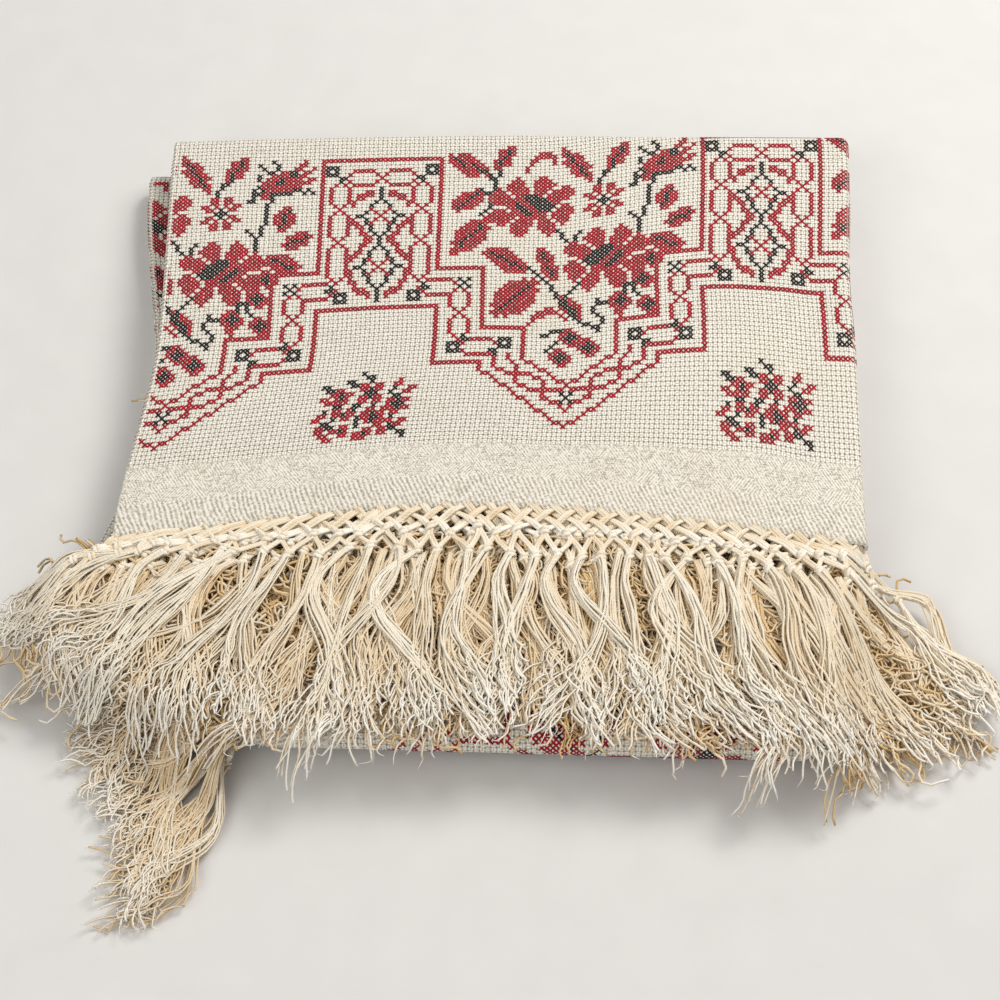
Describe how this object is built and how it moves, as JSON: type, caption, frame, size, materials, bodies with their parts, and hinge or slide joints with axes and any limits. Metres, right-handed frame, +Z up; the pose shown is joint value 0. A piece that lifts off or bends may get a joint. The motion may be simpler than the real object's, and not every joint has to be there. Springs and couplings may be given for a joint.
{
  "type": "folded embroidered tablecloth",
  "caption": "Square cream cotton tablecloth with red and black cross-stitch borders and a knotted fringe, folded into a flat pack.",
  "frame": {"origin": "on the flat underside, at the middle of the folded pack", "axes": "+Z up through the layers, +X to the right along the front hem, +Y from the fringed front to the folded back"},
  "size_m": [0.4328, 0.4268, 0.0364],
  "materials": {
    "cloth": "cream block-woven cotton with red and black cross stitch",
    "fringe": "cream cotton yarn, knotted and ravelled"
  },
  "bodies": {
    "root": {"cloth": "cloth", "fringe_front": "fringe", "fringe_far": "fringe", "fringe_inner": "fringe", "fringe_side": "fringe"}
  },
  "joints": []
}
